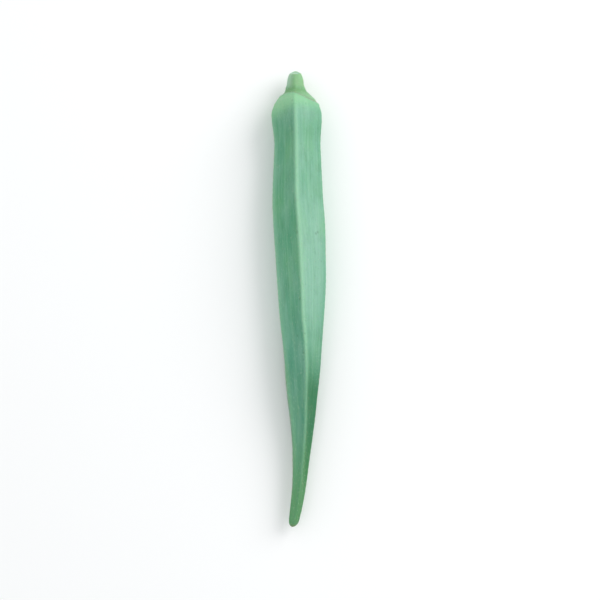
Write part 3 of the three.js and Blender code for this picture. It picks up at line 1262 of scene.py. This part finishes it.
@dataclass
class PodSkin:
    """The pod's whole outer skin, with the cut end of its stalk."""

    grid: SkinGrid
    skin: OkraSkinFinish = field(default_factory=OkraSkinFinish)
    pith: CutPithFinish = field(default_factory=CutPithFinish)
    name: str = "okra_skin"
    weld_reach: float = 1e-7
    pattern_radius_mm: float = 8

    def build(self) -> bpy.types.Object:
        """Rolls a flat grid up into the pod and closes it.

        Returns:
            The skin's object.
        """
        rows, columns = self.grid.place.shape
        clear_selection()
        bpy.ops.mesh.primitive_grid_add(
            x_subdivisions=columns - 1, y_subdivisions=rows - 1, size=2
        )
        piece = active_piece(self.name)
        row, column = self.grid_places(piece.data, rows, columns)
        self.store(piece.data, row, column)
        piece.data.vertices.foreach_set("co", self.grid.points[row, column].ravel())
        self.assign_zones(piece, row)
        bpy.ops.object.mode_set(mode="EDIT")
        bpy.ops.mesh.select_all(action="SELECT")
        bpy.ops.mesh.remove_doubles(threshold=self.weld_reach)
        bpy.ops.mesh.normals_make_consistent(inside=False)
        bpy.ops.object.mode_set(mode="OBJECT")
        bpy.ops.object.shade_smooth()
        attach(piece, "root")
        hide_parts(POD_NODE)
        return piece

    @staticmethod
    def grid_places(
        mesh: bpy.types.Mesh, rows: int, columns: int
    ) -> tuple[np.ndarray, np.ndarray]:
        """Finds the row and the column of each vertex of the flat grid.

        The grid runs from -1 to 1, with its columns along X and its rows along Y.

        Args:
            mesh: The flat grid.
            rows: Number of rows.
            columns: Number of columns.

        Returns:
            The row and the column of each vertex.
        """
        flat = np.empty(len(mesh.vertices) * 3)
        mesh.vertices.foreach_get("co", flat)
        flat = flat.reshape(-1, 3)
        column = np.rint((flat[:, 0] + 1) / 2 * (columns - 1)).astype(int)
        row = np.rint((flat[:, 1] + 1) / 2 * (rows - 1)).astype(int)
        return row, column

    def store(self, mesh: bpy.types.Mesh, row: np.ndarray, column: np.ndarray) -> None:
        """Stores on the mesh what the skin's material reads.

        Its patterns are laid out on a straight round pod, so that they follow the ridges.

        Args:
            mesh: The skin's mesh.
            row: Row of each vertex.
            column: Column of each vertex.
        """
        grid = self.grid
        for trait, values in grid.traits.items():
            attribute = mesh.attributes.new(trait.value, "FLOAT", "POINT")
            attribute.data.foreach_set("value", values[row, column].astype(np.float32))
        turn = np.radians(grid.local)
        radius = self.pattern_radius_mm
        layout = (radius * np.sin(turn), grid.place, radius * np.cos(turn))
        grown = np.stack(layout, axis=-1) * MM
        vectors = grown[row, column].astype(np.float32).ravel()
        mesh.attributes.new("grown", "FLOAT_VECTOR", "POINT").data.foreach_set("vector", vectors)

    def assign_zones(self, piece: bpy.types.Object, row: np.ndarray) -> None:
        """Gives the cut's faces the pith and the rest the skin.

        Args:
            piece: The skin's object.
            row: Row of each vertex.
        """
        piece.data.materials.append(self.skin.build())
        piece.data.materials.append(self.pith.build())
        on_cut = self.grid.on_cut[:, 0]
        zones = [
            Zone.CUT.value
            if all(on_cut[row[v]] for v in polygon.vertices)
            else Zone.SKIN.value
            for polygon in piece.data.polygons
        ]
        piece.data.polygons.foreach_set("material_index", zones)


@dataclass
class PodHairs:
    """Short hairs that stand on the skin, thickest along the ribs.

    Lengths are millimetres, and the hairs are a little stouter than life so that they show.
    """

    grid: SkinGrid
    finish: HairFinish = field(default_factory=HairFinish)
    name: str = "okra_hairs"
    count: int = 9000
    length: tuple[float, float] = (0.28, 0.75)
    root_radius: float = 0.022
    tip_share: float = 0.25
    sunk_share: float = 0.06
    waist_share: float = 0.5
    lean: float = 38
    lean_shares: tuple[float, float] = (0.4, 1.5)
    swing: float = 0.6
    bend: float = 0.25
    floor_gap: float = 0.03
    first_place: float = 0.5
    last_place: float = 139
    density: float = 0.35
    rib_density: float = 2.2
    rib_crowding: int = 3
    cap_density: float = 0.8
    seed: int = 5

    def build(self) -> bpy.types.Object:
        """Models one hair, and copies it over the skin.

        Returns:
            The object that holds all hairs.
        """
        shape, faces = self.one_hair()
        points = self.stand(shape)
        first = np.arange(len(points)) * len(shape)
        corners = (faces[None] + first[:, None, None]).reshape(-1, 3)
        mesh = bpy.data.meshes.new(self.name)
        mesh.from_pydata((points * MM).reshape(-1, 3).tolist(), [], corners.tolist())
        piece = bpy.data.objects.new(self.name, mesh)
        bpy.context.collection.objects.link(piece)
        mesh.materials.append(self.finish.build())
        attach(piece, "root")
        return piece

    def one_hair(self) -> tuple[np.ndarray, np.ndarray]:
        """Models one hair from a cone with a waist, at its full width and one millimetre long.

        Returns:
            Its points, and its three-cornered faces.
        """
        clear_selection()
        bpy.ops.mesh.primitive_cone_add(
            vertices=3,
            radius1=self.root_radius,
            radius2=self.root_radius * self.tip_share,
            depth=1,
            location=(0, 0, 0.5 - self.sunk_share),
            end_fill_type="TRIFAN",
        )
        hair = active_piece("hair_model")
        bpy.ops.object.transform_apply(location=True)
        bpy.ops.object.mode_set(mode="EDIT")
        bpy.ops.mesh.select_all(action="SELECT")
        bpy.ops.mesh.bisect(plane_co=(0, 0, self.waist_share), plane_no=(0, 0, 1))
        bpy.ops.mesh.select_all(action="SELECT")
        bpy.ops.mesh.quads_convert_to_tris()
        bpy.ops.object.mode_set(mode="OBJECT")
        points = np.array([v.co[:] for v in hair.data.vertices])
        faces = np.array([p.vertices[:] for p in hair.data.polygons])
        bpy.data.objects.remove(hair, do_unlink=True)
        return points, faces

    def stand(self, shape: np.ndarray) -> np.ndarray:
        """Stands a copy of the hair on each root, leaning and bent towards the tip.

        Args:
            shape: The points of one hair.

        Returns:
            The points of every hair that clears the floor, in millimetres.
        """
        roots, normals, along = self.places()
        count = len(roots)
        draw = np.random.default_rng(self.seed + 1)
        size = draw.uniform(*self.length, count)[:, None]
        lean = np.radians(self.lean * draw.uniform(*self.lean_shares, count))[:, None]
        swing = draw.uniform(-self.swing, self.swing, count)[:, None]
        side = np.cross(normals, along)
        course = along * np.cos(swing) + side * np.sin(swing)
        up = normals * np.cos(lean) + course * np.sin(lean)
        flat = np.cross(side, up)
        flat /= np.linalg.norm(flat, axis=1, keepdims=True)
        third = np.cross(up, flat)
        bend = normals * self.bend
        x, y, z = (shape[:, i][None, :, None] for i in range(3))
        tall = z * size[:, None, :]
        points = roots[:, None, :] / MM + flat[:, None, :] * x + third[:, None, :] * y
        points = points + up[:, None, :] * tall - bend[:, None, :] * tall * z
        return points[points[..., 2].min(axis=1) > self.floor_gap]

    def places(self) -> tuple[np.ndarray, np.ndarray, np.ndarray]:
        """Draws where the hairs stand.

        Returns:
            Their roots in metres, the skin's normals there, and the way to the tip.
        """
        grid = self.grid
        points = grid.points[:, :-1]
        down = np.gradient(points, axis=0)
        across = (np.roll(points, -1, axis=1) - np.roll(points, 1, axis=1)) / 2
        normal = np.cross(across, down)
        area = np.linalg.norm(normal, axis=2)
        weight = (area * self.crowding()).ravel()
        draw = np.random.default_rng(self.seed)
        chosen = draw.choice(weight.size, size=self.count, replace=False, p=weight / weight.sum())
        unit = normal / np.maximum(area, LEAST_SIZE)[..., None]
        outward = np.sign(np.sum(unit * (points - points.mean(axis=1, keepdims=True)), axis=2))
        unit = unit * outward[..., None]
        along = down / np.maximum(np.linalg.norm(down, axis=2), LEAST_SIZE)[..., None]
        return (
            points.reshape(-1, 3)[chosen],
            unit.reshape(-1, 3)[chosen],
            along.reshape(-1, 3)[chosen],
        )

    def crowding(self) -> np.ndarray:
        """Works out how closely the hairs stand, with none on the cut or at the very tip.

        Returns:
            The density at each point of the grid, apart from its last column.
        """
        rib, band, receptacle, stalk, place = (
            self.grid.traits[trait][:, :-1]
            for trait in (Trait.RIB, Trait.CAP_BAND, Trait.RECEPTACLE, Trait.STALK, Trait.PLACE)
        )
        cap = self.cap_density * np.maximum.reduce((band, receptacle, stalk))
        density = self.density + self.rib_density * rib**self.rib_crowding + cap
        clear = (place > self.first_place) & (place < self.last_place)
        return density * (~self.grid.on_cut[:, :-1] & clear)


@dataclass
class Studio:
    """Floor, soft light and the camera that looks down on the pod.

    Lengths are metres, apart from the lens's and the sensor's, which are millimetres.
    """

    distance: float = 0.547
    elevation: float = 80
    focal_length: float = 109.1
    sensor_width: float = 36
    target: tuple[float, float, float] = (0.00044, -0.0023, 0.007)
    floor_size: float = 4.0
    world_colour: str = "#fbfdff"
    world_strength: float = 0.88
    key_power: float = 1.9
    key_place: tuple[float, float, float] = (0.42, 0.26, 0.36)
    key_size: float = 0.5
    finish: FloorFinish = field(default_factory=FloorFinish)

    def build_floor(self) -> bpy.types.Object:
        """Lays the floor under the pod.

        Returns:
            The floor's object.
        """
        clear_selection()
        bpy.ops.mesh.primitive_plane_add(size=self.floor_size, location=(0, 0, 0))
        floor = active_piece("card_floor")
        floor.data.materials.append(self.finish.build())
        return floor

    def build_world(self) -> None:
        """Surrounds the scene with even soft light."""
        world = bpy.data.worlds.new("soft_room")
        world.use_nodes = True
        background = world.node_tree.nodes["Background"]
        background.inputs["Color"].default_value = linear(self.world_colour)
        background.inputs["Strength"].default_value = self.world_strength
        bpy.context.scene.world = world
        bpy.context.scene.view_settings.view_transform = "Standard"

    def build_key(self) -> bpy.types.Object:
        """Hangs one large soft light over the right of the pod.

        Returns:
            The light's object.
        """
        light = bpy.data.lights.new("key_softbox", "AREA")
        light.energy = self.key_power
        light.shape = "DISK"
        light.size = self.key_size
        key = bpy.data.objects.new("key_softbox", light)
        key.location = self.key_place
        aim = -Vector(self.key_place)
        key.rotation_euler = aim.to_track_quat("-Z", "Y").to_euler()
        bpy.context.collection.objects.link(key)
        return key

    def build_camera(self) -> bpy.types.Object:
        """Places the camera at the photograph's viewing angle.

        Returns:
            The camera's object.
        """
        tilt = math.radians(self.elevation)
        offset = Vector((0, -math.cos(tilt), math.sin(tilt))) * self.distance
        lens = bpy.data.cameras.new("camera")
        lens.lens = self.focal_length
        lens.sensor_width = self.sensor_width
        camera = bpy.data.objects.new("camera", lens)
        camera.location = Vector(self.target) + offset
        camera.rotation_euler = (-offset).to_track_quat("-Z", "Y").to_euler()
        bpy.context.collection.objects.link(camera)
        bpy.context.scene.camera = camera
        return camera


def main() -> None:
    """Builds the studio and the pod, and reports each piece."""
    logging.basicConfig(level=logging.INFO, format="%(name)s: %(message)s")
    studio = Studio()
    for piece in (studio.build_camera(), studio.build_floor(), studio.build_key()):
        LOG.info("placed %s", piece.name)
    studio.build_world()
    grid = PodSurface().build()
    for part in (PodSkin(grid), PodHairs(grid)):
        piece = part.build()
        LOG.info("built %s with %d faces", piece.name, len(piece.data.polygons))


if __name__ == "__main__":
    main()
